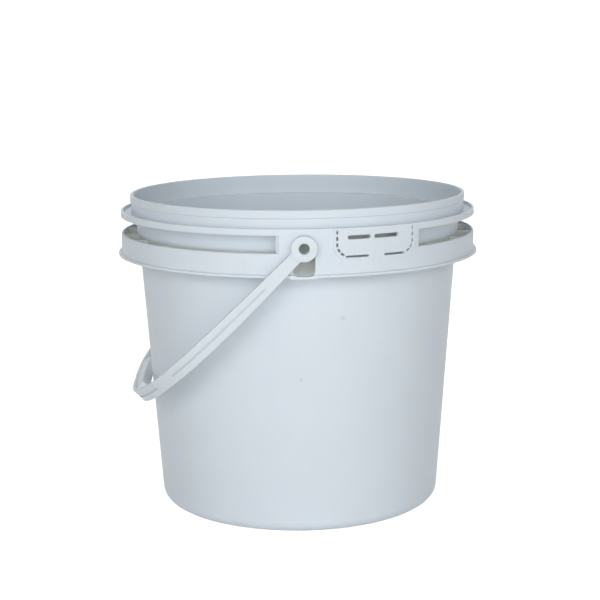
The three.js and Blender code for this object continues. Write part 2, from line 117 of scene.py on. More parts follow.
# Tear-off tab, with angles in degrees
TAB_FROM = 8.6
TAB_TO = 35.9
TAB_BOTTOM = 171.2
TAB_CORNER = 8.0
TAB_RAISE = 0.65
TAB_MIDDLE = (TAB_FROM + TAB_TO) / 2
TAB_WIDTH = 2 * BAND_RADIUS * math.sin(math.radians(TAB_TO - TAB_FROM) / 2)
TEAR_INSET = 1.9
TEAR_SHIFT_RIGHT = 0.9
TEAR_CORNER = 7.5
TEAR_WIDTH = 1.3
TEAR_DASH = 2.5
TEAR_GAP = 1.2
TEAR_TOP_INSET = 2.4
TEAR_BENDS = (31, 54)
BOTTOM_SLOT_LENGTH = 14.2
BOTTOM_LAND = 9.6
BOTTOM_LAND_OFFSET = -0.8
FINGER_SLOTS = (14.2, 16.2)
FINGER_SLOT_HEIGHT = 2.4
FINGER_LAND = 2.1
FINGER_LAND_OFFSET = -3.4
FINGER_SLOT_BELOW_FLANGE = 1.7

# Handle: a hoop whose two powers set how square its near and far halves are
HOOP_REACH = 147.6
HOOP_POWER = 2.8
FAR_FULLNESS = 0.5
ARM_PROUD = 0.7
HOOP_HALF_SPAN = DISC_OUTER_FACE + ARM_PROUD
STRAP_WIDTH = 9.4
STRAP_THICKNESS = 2.7
STRAP_EDGE = 0.55
ARM_START = 7.7
ARM_ROOT = 3.0
ARM_WIDTH = 7.3
ARM_TAPER_END = 58.0
GRIP_HALF_LENGTH = 40.0
GRIP_DEPTH = 5.8
GRIP_WIDTH = 7.5
GRIP_EDGE = 1.4
GROOVE_WIDTH = 1.1
GROOVE_DEPTH = 1.1
GROOVE_START = 32.0
GROOVE_END = 110.0
GRIP_GROOVE_HALF_LENGTH = 84.0
REST_CLEARANCE = 0.4

# Sides and steps of the curved forms, and the angles in degrees above which edges stay sharp
AROUND = 288
PIN_AROUND = 96
PEG_SIDES = 18
HOOP_STEPS = 320
GROOVE_STEPS = HOOP_STEPS // 2
GRIP_STEPS = HOOP_STEPS // 4
CORNER_STEPS = 4
CUTOUT_STEPS = 8
TAB_STEPS = 12
EASING_STEPS = 6
BAR_EDGE_STEPS = 3
DEGREES_PER_STEP = 1.25
PAIL_CREASE = 32
HANDLE_CREASE = 35

# How far solids that are joined or cut reach into or past each other
OVERLAP = 0.4
CUT_PAST = 1.0
REACH_OUT = 8.0
ON_AXIS = 0.001
WELD_METRES = 1e-7

# Plastic: glow, relief and pattern scales in metres, specks placed in millimetres
PAIL_WHITE = (0.735, 0.80, 0.855)
PAIL_ROUGHNESS = 0.48
HANDLE_WHITE = (0.745, 0.805, 0.85)
HANDLE_ROUGHNESS = 0.44
GLOSSIER = 0.05
DULLER = 0.06
REFRACTIVE_INDEX = 1.49
SHEEN_LEVEL = 0.2
TRANSLUCENCY = 0.4
GLOW_SPREAD = (1.0, 0.88, 0.72)
GLOW_DEPTH = 0.002
MOTTLE_SCALE = 22
MOTTLE_DETAIL = 3
MOTTLE_RANGE = (0.3, 0.7)
MOTTLE_SHADE = 0.975
GRAIN_SCALE = 900
GRAIN_DETAIL = 4
RELIEF_STRENGTH = 0.06
RELIEF_DEPTH = 0.0002
SPECKS = [((-1.9, -96.7, 97.6), 1.5), ((23.1, -96.5, 134.5), 1.9)]
SPECK_COLOUR = (0.3, 0.35, 0.4, 1)
SPECK_STRENGTH = 0.3

# Tool marks: each pair of limits runs from where a mark is absent to where it is full.
# Blender's wave texture turns 20 radians for each unit of its scale.
TOOL_PATCH_SCALE = 30
TOOL_PATCH_DETAIL = 2
TOOL_PATCH_LIMITS = (0.48, 0.62)
TOOL_MARK_PITCH = 0.9
TOOL_MARK_DEPTH = 0.8
TURNED_PITCH = 2.2
TURNED_DEPTH = 9.0
TURNED_INNER = (12, 22)
TURNED_OUTER = (60, 44)
TURNED_LOW = (BAND_BOTTOM, BAND_BOTTOM + 2)
TURNED_HIGH = (BAND_TOP, BAND_TOP - 2)
WAVE_WOBBLE = 0.6
WAVE_TEXTURE_RATE = 20

# Painted shade: a darker, warmer grey painted into the gap behind the band and the panels,
# standing in for the dim light that comes through the plastic there, with limits of the same kind
GAP_PAINTED_SHADE = (0.58, 0.58, 0.51, 1)
GAP_PAINTED_SHADE_SHARE = 0.75
GAP_OUTER = (BAND_INNER - 0.2, BAND_INNER - 0.6)
GAP_INNER = (BASE_RADIUS - 0.9, BASE_RADIUS - 0.5)
GAP_LOW = (BAND_BOTTOM - 2, BAND_BOTTOM + 2)
GAP_BAND_TOP = (BAND_TOP, BAND_TOP - 1)
GAP_PANEL_TOP = (FLANGE_UNDERSIDE, FLANGE_UNDERSIDE - 1)
GAP_PANEL_FROM = (-66, -65)
GAP_PANEL_TO = (13, 12)

# Studio: lamps by name, azimuth, elevation and watts, in metres and degrees
SOFTBOXES = [
    ("left", -28, 16, 12.5),
    ("front", 0, 14, 9),
    ("right", 31, 14, 10),
    ("behind", 180, 48, 14),
]
SOFTBOX_SIZE = 1.3
SOFTBOX_DISTANCE = 2.0
LIT_POINT = (0, 0, 0.12)
AMBIENT = 0.14
WHITE = (1, 1, 1, 1)

# Floor, in millimetres but for the ring in metres over which it fades to plain white
FLOOR_HALF_WIDTH = 6000
FLOOR_DROP = 0.1
FLOOR_GREY = (0.8, 0.8, 0.8, 1)
FLOOR_ROUGHNESS = 0.9
FLOOR_GLOW = 0.86
SHADOW_RING = (0.12, 0.4)

# Camera, fitted to the photograph's outline, in metres and degrees
SENSOR_WIDTH = 36
LENS = 89.33
CAMERA_PLACE = (-0.03046, -0.95362, 0.30299)
CAMERA_AZIMUTH = -1.9
CAMERA_PITCH = 10.394
CAMERA_ROLL = -0.543


def wall_radius(height):
    return BASE_RADIUS + WALL_TAPER * height


# Solids from outlines


def new_object(name, bm):
    """Makes an object from a mesh in millimetres."""
    mesh = bpy.data.meshes.new(name)
    bm.to_mesh(mesh)
    bm.free()
    return place_mesh(name, mesh)


def place_mesh(name, mesh):
    mesh.transform(Matrix.Scale(MM, 4))
    made = bpy.data.objects.new(name, mesh)
    bpy.context.scene.collection.objects.link(made)
    return made


def rounded(corners, steps=CORNER_STEPS):
    """Turns (x, y, fillet) corners into outline points, with an arc at each filleted corner."""
    points = []
    for i, (x, y, fillet) in enumerate(corners):
        here = Vector((x, y))
        if fillet <= 0:
            points.append(here)
            continue
        back = (Vector(corners[i - 1][:2]) - here).normalized()
        ahead = (Vector(corners[(i + 1) % len(corners)][:2]) - here).normalized()
        half = back.angle(ahead) / 2
        reach = fillet / math.tan(half)
        centre = here + (back + ahead).normalized() * (fillet / math.sin(half))
        start = here + back * reach - centre
        end = here + ahead * reach - centre
        sweep = start.angle_signed(end)
        for k in range(steps + 1):
            turned = start.copy()
            turned.rotate(Matrix.Rotation(-sweep * k / steps, 2))
            points.append(centre + turned)
    return points


def revolve(points, segments=AROUND):
    """Turns an outline of (radius, height) points about the vertical axis.

    An outline that starts on the axis also ends there; any other is closed into a ring.
    """
    bm = bmesh.new()
    rings = []
    for radius, height in points:
        around = segments if radius > ON_AXIS else 1
        angles = [2 * math.pi * k / segments for k in range(around)]
        rings.append([
            bm.verts.new((radius * math.sin(a), -radius * math.cos(a), height)) for a in angles
        ])
    closed = len(rings[0]) > 1
    pairs = zip(rings, rings[1:] + rings[:1]) if closed else zip(rings, rings[1:])
    for low, high in pairs:
        for k in range(segments):
            after = (k + 1) % segments
            corners = (
                low[k % len(low)], low[after % len(low)],
                high[after % len(high)], high[k % len(high)],
            )
            unique = list(dict.fromkeys(corners))
            if len(unique) > 2:
                bm.faces.new(unique)
    bmesh.ops.recalc_face_normals(bm, faces=bm.faces)
    return bm


def loft(near, far):
    """A closed solid between two outlines with the same number of points."""
    bm = bmesh.new()
    a = [bm.verts.new(p) for p in near]
    b = [bm.verts.new(p) for p in far]
    bm.faces.new(a)
    bm.faces.new(b)
    for k in range(len(a)):
        after = (k + 1) % len(a)
        bm.faces.new([a[k], a[after], b[after], b[k]])
    bmesh.ops.recalc_face_normals(bm, faces=bm.faces)
    return bm


def push_out(outline, azimuth, inner, outer):
    """Pushes an outline of (sideways, height) points out from the axis at an azimuth."""
    bm = loft([(x, -inner, z) for x, z in outline], [(x, -outer, z) for x, z in outline])
    turn = Matrix.Rotation(math.radians(azimuth), 3, "Z")
    bmesh.ops.rotate(bm, verts=bm.verts, cent=(0, 0, 0), matrix=turn)
    return bm


def sector(start, end, inner, outer, bottom, top):
    """A pie slice between two azimuths, used to cut rings."""
    steps = math.ceil((end - start) / DEGREES_PER_STEP)
    turns = [start + (end - start) * k / steps for k in range(steps + 1)]
    angles = [math.radians(turn) for turn in turns]
    outline = [(outer * math.sin(a), -outer * math.cos(a)) for a in angles]
    outline += [(inner * math.sin(a), -inner * math.cos(a)) for a in reversed(angles)]
    return loft([(x, y, bottom) for x, y in outline], [(x, y, top) for x, y in outline])


def combine(target, tools, operation):
    """Joins solids to the target, cuts them from it or keeps what they share, and removes them."""
    bpy.context.view_layer.objects.active = target
    for tool in tools:
        step = target.modifiers.new("step", "BOOLEAN")
        step.operation = operation
        step.solver = "MANIFOLD"
        step.object = tool
        bpy.ops.object.modifier_apply(modifier=step.name)
        bpy.data.objects.remove(tool)
    return target


# Node trees: arithmetic on their numbers, and the trees that repeat or sweep a form


class Field:
    """A number in a node tree; arithmetic on it adds the math nodes."""

    def __init__(self, tree, socket):
        self.tree = tree
        self.socket = socket

    def apply(self, operation, *others):
        node = self.tree.nodes.new("ShaderNodeMath")
        node.operation = operation
        for slot, value in zip(node.inputs, (self, *others)):
            if isinstance(value, Field):
                self.tree.links.new(value.socket, slot)
            else:
                slot.default_value = value
        return Field(self.tree, node.outputs[0])

    def __add__(self, other):
        return self.apply("ADD", other)

    def __sub__(self, other):
        return self.apply("SUBTRACT", other)

    def __mul__(self, other):
        return self.apply("MULTIPLY", other)

    def __truediv__(self, other):
        return self.apply("DIVIDE", other)

    def __pow__(self, other):
        return self.apply("POWER", other)

    def __neg__(self):
        return self.apply("MULTIPLY", -1.0)

    def sin(self):
        return self.apply("SINE")

    def cos(self):
        return self.apply("COSINE")

    def abs(self):
        return self.apply("ABSOLUTE")

    def sign(self):
        return self.apply("SIGN")


class Tree:
    """A geometry tree with named inputs; it ends in Realize Instances and Set Material."""

    def __init__(self, name, **sizes):
        self.tree = bpy.data.node_groups.new(name, "GeometryNodeTree")
        face = self.tree.interface
        face.new_socket("Geometry", in_out="OUTPUT", socket_type="NodeSocketGeometry")
        face.new_socket("Geometry", in_out="INPUT", socket_type="NodeSocketGeometry")
        for label, kind in sizes.items():
            face.new_socket(label, in_out="INPUT", socket_type="NodeSocket" + kind)
        face.new_socket("plastic", in_out="INPUT", socket_type="NodeSocketMaterial")
        self.inputs = self.tree.nodes.new("NodeGroupInput").outputs

    def size(self, label):
        return Field(self.tree, self.inputs[label])

    def add(self, kind, **settings):
        node = self.tree.nodes.new(kind)
        for name, value in settings.items():
            setattr(node, name, value)
        return node

    def link(self, source, target):
        self.tree.links.new(source.socket if isinstance(source, Field) else source, target)

    def vector(self, x, y, z):
        node = self.add("ShaderNodeCombineXYZ")
        for value, slot in zip((x, y, z), node.inputs):
            if isinstance(value, Field):
                self.link(value, slot)
            else:
                slot.default_value = value
        return node.outputs[0]

    def parts(self, vector):
        node = self.add("ShaderNodeSeparateXYZ")
        self.link(vector, node.inputs[0])
        return [Field(self.tree, out) for out in node.outputs]

    def index(self):
        return Field(self.tree, self.add("GeometryNodeInputIndex").outputs[0])

    def position(self):
        return self.parts(self.add("GeometryNodeInputPosition").outputs[0])

    def read(self, name, data_type="FLOAT"):
        node = self.add("GeometryNodeInputNamedAttribute", data_type=data_type)
        node.inputs["Name"].default_value = name
        return node.outputs["Attribute"]

    def move(self, geometry, x, y, z):
        node = self.add("GeometryNodeSetPosition")
        self.link(geometry, node.inputs["Geometry"])
        self.link(self.vector(x, y, z), node.inputs["Position"])
        return node.outputs["Geometry"]

    def points(self, count):
        """A run of points at the origin, to be placed by their index."""
        line = self.add("GeometryNodeMeshLine", mode="OFFSET", count_mode="TOTAL")
        self.link(count, line.inputs["Count"])
        line.inputs["Offset"].default_value = (0, 0, 0)
        return line.outputs["Mesh"]

    def realize(self, geometry):
        node = self.add("GeometryNodeRealizeInstances")
        self.link(geometry, node.inputs[0])
        return node.outputs[0]

    def finish(self, geometry):
        paint = self.add("GeometryNodeSetMaterial")
        self.link(self.realize(geometry), paint.inputs["Geometry"])
        self.link(self.inputs["plastic"], paint.inputs["Material"])
        end = self.tree.nodes.new("NodeGroupOutput")
        self.link(paint.outputs["Geometry"], end.inputs["Geometry"])
        return self.tree


def grow(name, tree, plastic, mesh=None, **sizes):
    """Runs a tree with the given sizes and returns its result as a plain mesh object."""
    base = bpy.data.objects.new(name, mesh or bpy.data.meshes.new(name))
    bpy.context.scene.collection.objects.link(base)
    grower = base.modifiers.new("grow", "NODES")
    grower.node_group = tree
    given = {**sizes, "plastic": plastic}
    for item in tree.interface.items_tree:
        if item.in_out == "INPUT" and item.name in given:
            grower[item.identifier] = given[item.name]
    ready = base.evaluated_get(bpy.context.evaluated_depsgraph_get())
    result = bpy.data.meshes.new_from_object(ready)
    base.modifiers.remove(grower)
    bpy.data.objects.remove(base)
    return place_mesh(name, result)


def rib_tree():
    """Upright plates round the pail; their inner edges follow the wall's taper."""
    t = Tree(
        "wall_ribs", count="Int", first_turn="Float", pitch="Float", foot="Float", top="Float",
        foot_radius="Float", taper="Float", outer_radius="Float", thickness="Float",
    )
    cube = t.add("GeometryNodeMeshCube")
    outwards, sideways, upwards = t.position()
    height = (upwards + 0.5) * (t.size("top") - t.size("foot"))
    inner = t.size("foot_radius") + t.size("taper") * height
    radius = inner + (outwards + 0.5) * (t.size("outer_radius") - inner)
    plate = t.move(
        cube.outputs["Mesh"], sideways * t.size("thickness"), -radius, t.size("foot") + height,
    )
    spread = t.add("GeometryNodeInstanceOnPoints")
    t.link(t.points(t.size("count")), spread.inputs["Points"])
    t.link(plate, spread.inputs["Instance"])
    turn = t.size("first_turn") + t.index() * t.size("pitch")
    t.link(t.vector(0, 0, turn), spread.inputs["Rotation"])
    return t.finish(spread.outputs["Instances"])


def slot_tree():
    """Round-ended cutters on flat points of (sideways, 0, height), wrapped round the band."""
    t = Tree(
        "tab_slots", inner_radius="Float", outer_radius="Float", band_radius="Float",
        middle_turn="Float",
    )
    peg = t.add("GeometryNodeMeshCylinder")
    peg.inputs["Vertices"].default_value = PEG_SIDES
    peg.inputs["Radius"].default_value = 0.5
    peg.inputs["Depth"].default_value = 1.0
    keep = t.add("GeometryNodeStoreNamedAttribute", data_type="FLOAT_VECTOR", domain="POINT")
    keep.inputs["Name"].default_value = "on_peg"
    t.link(peg.outputs["Mesh"], keep.inputs["Geometry"])
    t.link(t.add("GeometryNodeInputPosition").outputs[0], keep.inputs["Value"])
    spread = t.add("GeometryNodeInstanceOnPoints")
    t.link(t.inputs["Geometry"], spread.inputs["Points"])
    t.link(keep.outputs["Geometry"], spread.inputs["Instance"])
    pegs = t.realize(spread.outputs["Instances"])
    length, width, slope = [
        Field(t.tree, t.read(name)) for name in ("length", "width", "slope")
    ]
    px, py, pz = t.parts(t.read("on_peg", "FLOAT_VECTOR"))
    x, y, z = t.position()
    along = px * width + px.sign() * (length - width) * 0.5
    across = py * width
    sideways = x - px + along * slope.cos() - across * slope.sin()
    height = z - pz + along * slope.sin() + across * slope.cos()
    depth = t.size("outer_radius") - t.size("inner_radius")
    radius = t.size("inner_radius") + (pz + 0.5) * depth
    turn = t.size("middle_turn") + sideways / t.size("band_radius")
    return t.finish(t.move(pegs, radius * turn.sin(), -(radius * turn.cos()), height))


def hoop_tree():
    """A bar swept along the handle's squared half-round, narrowing over its arms.

    Its angle runs from 0 at the near pivot to half a turn at the far one, where the curve
    is fuller.
    """
    t = Tree(
        "hoop_bar", start="Float", end="Float", steps="Int", reach="Float", half_span="Float",
        power="Float", far_fullness="Float", inset="Float", depth="Float", width="Float",
        edge="Float", arm_start="Float", arm_full="Float", arm_share="Float",
    )
    angle = t.size("start") + (t.size("end") - t.size("start")) * t.index() / t.size("steps")
    far_half = angle.cos().sign() * -0.5 + 0.5
    power = t.size("power") + t.size("far_fullness") * far_half
    root = power ** -1.0 * 2.0
    out = angle.sin().abs() ** root
    side = angle.cos().abs() ** root * -angle.cos().sign()
    lean_out = out ** (power - 1.0) / t.size("reach")
    lean_side = side.abs() ** (power - 1.0) * side.sign() / t.size("half_span")
    lean = (lean_out * lean_out + lean_side * lean_side) ** 0.5
    inset = t.size("inset") + t.size("depth") * 0.5
    run = t.move(
        t.points(t.size("steps") + 1.0),
        out * t.size("reach") - lean_out / lean * inset,
        side * t.size("half_span") - lean_side / lean * inset,
        0,
    )
    path = t.add("GeometryNodeMeshToCurve")
    t.link(run, path.inputs["Mesh"])
    upright = t.add("GeometryNodeSetCurveNormal", mode="Z_UP")
    t.link(path.outputs["Curve"], upright.inputs["Curve"])
    section = t.add("GeometryNodeCurvePrimitiveQuadrilateral")
    t.link(t.size("depth"), section.inputs["Width"])
    t.link(t.size("width"), section.inputs["Height"])
    eased = t.add("GeometryNodeFilletCurve", mode="POLY")
    eased.inputs["Count"].default_value = BAR_EDGE_STEPS
    t.link(section.outputs["Curve"], eased.inputs["Curve"])
    t.link(t.size("edge"), eased.inputs["Radius"])
    sweep = t.add("GeometryNodeCurveToMesh")
    sweep.inputs["Fill Caps"].default_value = True
    t.link(upright.outputs["Curve"], sweep.inputs["Curve"])
    t.link(eased.outputs["Curve"], sweep.inputs["Profile Curve"])
    x, y, z = t.position()
    share = t.add("ShaderNodeMapRange")
    t.link(x, share.inputs["Value"])
    t.link(t.size("arm_start"), share.inputs["From Min"])
    t.link(t.size("arm_full"), share.inputs["From Max"])
    t.link(t.size("arm_share"), share.inputs["To Min"])
    narrowed = z * Field(t.tree, share.outputs["Result"])
    return t.finish(t.move(sweep.outputs["Mesh"], x, y, narrowed))


# The pail


def pail_outline():
    """The shell's whole section with the band hanging from the flange, from axis to axis."""
    neck_inner = NECK_RADIUS - WALL
    bead = NECK_RADIUS + BEAD_STEP
    lip = BAND_RADIUS + LOWER_LIP
    lip_top = BAND_BOTTOM + LOWER_LIP_HEIGHT
    floor_top = FOOT_RECESS + FLOOR_THICKNESS
    ledge = FLANGE_TOP - INNER_LEDGE_DROP
    return rounded([
        (0, FOOT_RECESS, 0),
        (FOOT_RING_INNER - FOOT_SLOPE, FOOT_RECESS, SOFT_CORNER),
        (FOOT_RING_INNER, 0, SOFT_CORNER),
        (wall_radius(0), 0, BASE_FILLET),
        (wall_radius(PARTING_HEIGHT), PARTING_HEIGHT, 0),
        (wall_radius(PARTING_HEIGHT) + PARTING_STEP, PARTING_HEIGHT, SOFT_EDGE / 2),
        (wall_radius(FLANGE_UNDERSIDE) + PARTING_STEP, FLANGE_UNDERSIDE, SOFT_CORNER),
        (BAND_INNER, FLANGE_UNDERSIDE, SOFT_EDGE),
        (BAND_INNER, BAND_BOTTOM, SOFT_EDGE),
        (lip, BAND_BOTTOM, SOFT_EDGE),
        (lip, lip_top, SOFT_EDGE),
        (BAND_RADIUS, lip_top + SOFT_EDGE, SOFT_EDGE),
        (BAND_RADIUS, LIP_TOP, SOFT_EDGE),
        (BAND_INNER, LIP_TOP, SOFT_EDGE),
        (BAND_INNER, FLANGE_TOP, SOFT_CORNER),
        (NECK_RADIUS, FLANGE_TOP, SOFT_CORNER),
        (NECK_RADIUS, PAIL_HEIGHT - BEAD_HEIGHT - BEAD_STEP, SOFT_EDGE),
        (bead, PAIL_HEIGHT - BEAD_HEIGHT, SOFT_EDGE),
        (bead, PAIL_HEIGHT, RIM_ROUND),
        (neck_inner, PAIL_HEIGHT, RIM_ROUND),
        (neck_inner, ledge, SOFT_EDGE),
        (wall_radius(ledge) - WALL, ledge, SOFT_EDGE),
        (wall_radius(floor_top) - WALL, floor_top, BASE_FILLET - WALL),
        (0, floor_top, 0),
    ])


def window_openings():
    """The two windows, each with the easing of the band's edge below it."""
    outer = BAND_RADIUS + REACH_OUT
    low = BAND_TOP - BAND_EASE_HEIGHT
    easing = [(outer, BAND_TOP + OVERLAP), (outer, low)]
    for k in range(EASING_STEPS + 1):
        bend = math.pi / 2 * k / EASING_STEPS
        inset = BAND_EASE_DEPTH * (1 - math.cos(bend))
        easing.append((BAND_RADIUS - inset, low + BAND_EASE_HEIGHT * math.sin(bend)))
    easing.append((BAND_RADIUS - BAND_EASE_DEPTH, BAND_TOP + OVERLAP))
    behind = wall_radius(FLANGE_UNDERSIDE) + 2 * PARTING_STEP
    made = []
    for start, end in WINDOWS:
        window = sector(start, end, behind, outer, BAND_TOP, FLANGE_UNDERSIDE)
        made.append(new_object("window", window))
        ring = new_object("easing", revolve(easing))
        stretch = sector(
            start, end, NECK_RADIUS, outer + CUT_PAST, low - CUT_PAST, BAND_TOP + CUT_PAST,
        )
        made.append(combine(ring, [new_object("stretch", stretch)], "INTERSECT"))
    return made


def wall_ribs(plastic):
    """The ribs in each window at an even pitch, and a web at either end."""
    tree = rib_tree()
    made = []
    inset = math.degrees((WEB_INSET + WEB_THICKNESS / 2) / BAND_INNER)
    for start, end in WINDOWS:
        count = math.floor((end - start) / RIB_PITCH)
        first = (start + end - (count - 1) * RIB_PITCH) / 2
        apart = end - start - 2 * inset
        rows = (
            ("ribs", count, first, RIB_PITCH, BAND_TOP - RIB_DROP, RIB_THICKNESS),
            ("webs", 2, start + inset, apart, FLANGE_UNDERSIDE + OVERLAP, WEB_THICKNESS),
        )
        for name, number, turn, pitch, top, thickness in rows:
            made.append(grow(
                name, tree, plastic, count=number, first_turn=math.radians(turn),
                pitch=math.radians(pitch), foot=BAND_BOTTOM, top=top,
                foot_radius=wall_radius(BAND_BOTTOM) - OVERLAP, taper=WALL_TAPER,
                outer_radius=BAND_INNER + OVERLAP, thickness=thickness,
            ))
    return made


def pivot_boss(side):
    """The raised border round a pivot hole and its cut-out."""
    outline = [(-BOSS_RADIUS, BOSS_BOTTOM), (BOSS_RADIUS, BOSS_BOTTOM)]
    outline += circle(BOSS_RADIUS, 0, math.pi, PIN_AROUND // 2)
    lip = BAND_RADIUS + LOWER_LIP
    lip_top = BAND_BOTTOM + LOWER_LIP_HEIGHT
    face = BAND_RADIUS + BOSS_RAISE
    ring = new_object("boss", revolve(rounded([
        (BAND_INNER, BOSS_BOTTOM, 0),
        (lip, BOSS_BOTTOM, SOFT_EDGE),
        (lip, lip_top, SOFT_EDGE),
        (face, lip_top + SOFT_EDGE, SOFT_EDGE),
        (face, LIP_TOP - OVERLAP, 0),
        (BAND_INNER, LIP_TOP - OVERLAP, 0),
    ])))
    border = push_out(outline, side, BAND_INNER - REACH_OUT, lip + REACH_OUT)
    return combine(ring, [new_object("border", border)], "INTERSECT")


def circle(radius, start, sweep, steps):
    """Points of an arc round the pivot axis, seen from outside; a part arc includes its end."""
    angles = [start + sweep * k / steps for k in range(steps + (sweep < 2 * math.pi))]
    return [(radius * math.cos(a), PIVOT_HEIGHT + radius * math.sin(a)) for a in angles]


def tab_plate():
    """The raised tab, clear of the gutter behind the flange's lip."""
    face = BAND_RADIUS + TAB_RAISE
    plate = new_object("tab", revolve(rounded([
        (BAND_INNER, TAB_BOTTOM, 0), (face, TAB_BOTTOM, 0), (face, LIP_TOP, SOFT_EDGE),
        (BAND_INNER, LIP_TOP, 0),
    ])))
    half = TAB_WIDTH / 2
    outline = rounded([
        (-half, TAB_BOTTOM, TAB_CORNER), (half, TAB_BOTTOM, TAB_CORNER),
        (half, LIP_TOP + REACH_OUT, 0), (-half, LIP_TOP + REACH_OUT, 0),
    ], TAB_STEPS)
    shape = push_out(outline, TAB_MIDDLE, BAND_INNER - REACH_OUT, face + REACH_OUT)
    combine(plate, [new_object("shape", shape)], "INTERSECT")
    gutter = revolve(rounded([
        (NECK_RADIUS, FLANGE_TOP, 0), (BAND_INNER + OVERLAP, FLANGE_TOP, 0),
        (BAND_INNER + OVERLAP, LIP_TOP + CUT_PAST, 0), (NECK_RADIUS, LIP_TOP + CUT_PAST, 0),
    ]))
    return combine(plate, [new_object("gutter", gutter)], "DIFFERENCE")


def slot_pair(height, left, right, land, land_middle, width):
    """Two slots side by side with a land between them.

    Each is (sideways, height, length, width, slope).
    """
    return [
        (land_middle - (land + left) / 2, height, left, width, 0),
        (land_middle + (land + right) / 2, height, right, width, 0),
    ]


def tear_line():
    """Dashes down both sides of the tab and round its corners, and slots along its bottom."""
    side = TAB_WIDTH / 2 - TEAR_INSET
    bottom = TAB_BOTTOM + TEAR_INSET
    bend_top = bottom + TEAR_CORNER
    dashes = slot_pair(
        bottom, BOTTOM_SLOT_LENGTH, BOTTOM_SLOT_LENGTH, BOTTOM_LAND, BOTTOM_LAND_OFFSET,
        TEAR_WIDTH,
    )
    height = LIP_TOP - TEAR_TOP_INSET
    while height > bend_top - TEAR_DASH / 2:
        for sideways in (-side, side - TEAR_SHIFT_RIGHT):
            dashes.append((sideways, height, TEAR_DASH, TEAR_WIDTH, math.pi / 2))
        height -= TEAR_DASH + TEAR_GAP
    for bend in map(math.radians, TEAR_BENDS):
        sideways = side - TEAR_CORNER * (1 - math.cos(bend))
        height = bend_top - TEAR_CORNER * math.sin(bend)
        right = sideways - TEAR_SHIFT_RIGHT
        dashes.append((right, height, TEAR_DASH, TEAR_WIDTH, math.pi / 2 - bend))
        dashes.append((-sideways, height, TEAR_DASH, TEAR_WIDTH, math.pi / 2 + bend))
    return dashes


def tab_slots(plastic):
    """Every slot of the tab, cut by one tree."""
    left, right = FINGER_SLOTS
    slots = tear_line() + slot_pair(
        FLANGE_UNDERSIDE - FINGER_SLOT_BELOW_FLANGE, left, right, FINGER_LAND, FINGER_LAND_OFFSET,
        FINGER_SLOT_HEIGHT,
    )
    layout = bpy.data.meshes.new("slot_layout")
    layout.from_pydata([(x, 0, z) for x, z, *_ in slots], [], [])
    for name, values in zip(("length", "width", "slope"), list(zip(*slots))[2:]):
        layout.attributes.new(name, "FLOAT", "POINT").data.foreach_set("value", values)
    return grow(
        "slots", slot_tree(), plastic, layout, inner_radius=BAND_INNER - CUT_PAST,
        outer_radius=BAND_RADIUS + REACH_OUT, band_radius=BAND_RADIUS,
        middle_turn=math.radians(TAB_MIDDLE),
    )


def pivot_openings(side):
    """The hole for the pin, and the opening below it that runs up beside a collar."""
    inner = BAND_INNER - CUT_PAST
    outer = BAND_RADIUS + REACH_OUT
    hole = PIN_RADIUS + PIN_CLEARANCE
    half = CUTOUT_WIDTH / 2
    bottom = BOSS_BOTTOM + CUTOUT_SILL
    outline = rounded([
        (-half, PIVOT_HEIGHT - CUTOUT_TOP, 0), (-half, bottom, CUTOUT_CORNER),
        (half, bottom, CUTOUT_CORNER), (half, PIVOT_HEIGHT - CUTOUT_TOP, 0),
    ], CUTOUT_STEPS)
    opening = new_object("cut_out", push_out(outline, side, inner, outer))
    collar = circle(hole + CUTOUT_COLLAR, 0, 2 * math.pi, PIN_AROUND)
    kept = push_out(collar, side, inner - CUT_PAST, outer + CUT_PAST)
    combine(opening, [new_object("collar", kept)], "DIFFERENCE")
    pin_hole = circle(hole, 0, 2 * math.pi, PIN_AROUND)
    return [opening, new_object("pin_hole", push_out(pin_hole, side, inner, outer))]


def finish_mesh(piece, angle):
    """Merges what the cuts left double and shades the form smooth between its edges."""
    bm = bmesh.new()
    bm.from_mesh(piece.data)
    bmesh.ops.remove_doubles(bm, verts=bm.verts, dist=WELD_METRES)
    bmesh.ops.dissolve_degenerate(bm, edges=bm.edges, dist=WELD_METRES)
    bm.to_mesh(piece.data)
    bm.free()
    piece.data.shade_smooth()
    piece.data.set_sharp_from_angle(angle=math.radians(angle))
    normals = piece.modifiers.new("weighted", "WEIGHTED_NORMAL")
    normals.keep_sharp = True
    bpy.context.view_layer.objects.active = piece
    bpy.ops.object.modifier_apply(modifier=normals.name)


def make_pail(plastic):
    pail = new_object("pail_moulding", revolve(pail_outline()))
    combine(pail, window_openings(), "DIFFERENCE")
    combine(pail, [*wall_ribs(plastic), *map(pivot_boss, SIDES), tab_plate()], "UNION")
    openings = [opening for side in SIDES for opening in pivot_openings(side)]
    combine(pail, [*openings, tab_slots(plastic)], "DIFFERENCE")
    finish_mesh(pail, PAIL_CREASE)
    return pail


# The handle, made flat with its reach along X and its pivot axis along Y, then hung


def angles_at_reach(reach):
    """Where the hoop has this reach, on its near and its fuller far half."""
    near = math.asin((reach / HOOP_REACH) ** (HOOP_POWER / 2))
    far = math.asin((reach / HOOP_REACH) ** ((HOOP_POWER + FAR_FULLNESS) / 2))
    return near, math.pi - far


def angles_at_side(across):
    """Where the hoop lies this far from its middle, on its near and its far half."""
    near = math.acos((across / HOOP_HALF_SPAN) ** (HOOP_POWER / 2))
    far = math.acos((across / HOOP_HALF_SPAN) ** ((HOOP_POWER + FAR_FULLNESS) / 2))
    return near, math.pi - far


def hoop_bar(name, tree, plastic, start, end, inset, depth, width, edge, steps=HOOP_STEPS):
    """A stretch of the hoop between two angles, set in from its outer face."""
    return grow(
        name, tree, plastic, start=start, end=end, steps=steps, reach=HOOP_REACH,
        half_span=HOOP_HALF_SPAN, power=HOOP_POWER, far_fullness=FAR_FULLNESS, inset=inset,
        depth=depth, width=width, edge=edge, arm_start=ARM_START, arm_full=ARM_TAPER_END,
        arm_share=ARM_WIDTH / STRAP_WIDTH,
    )


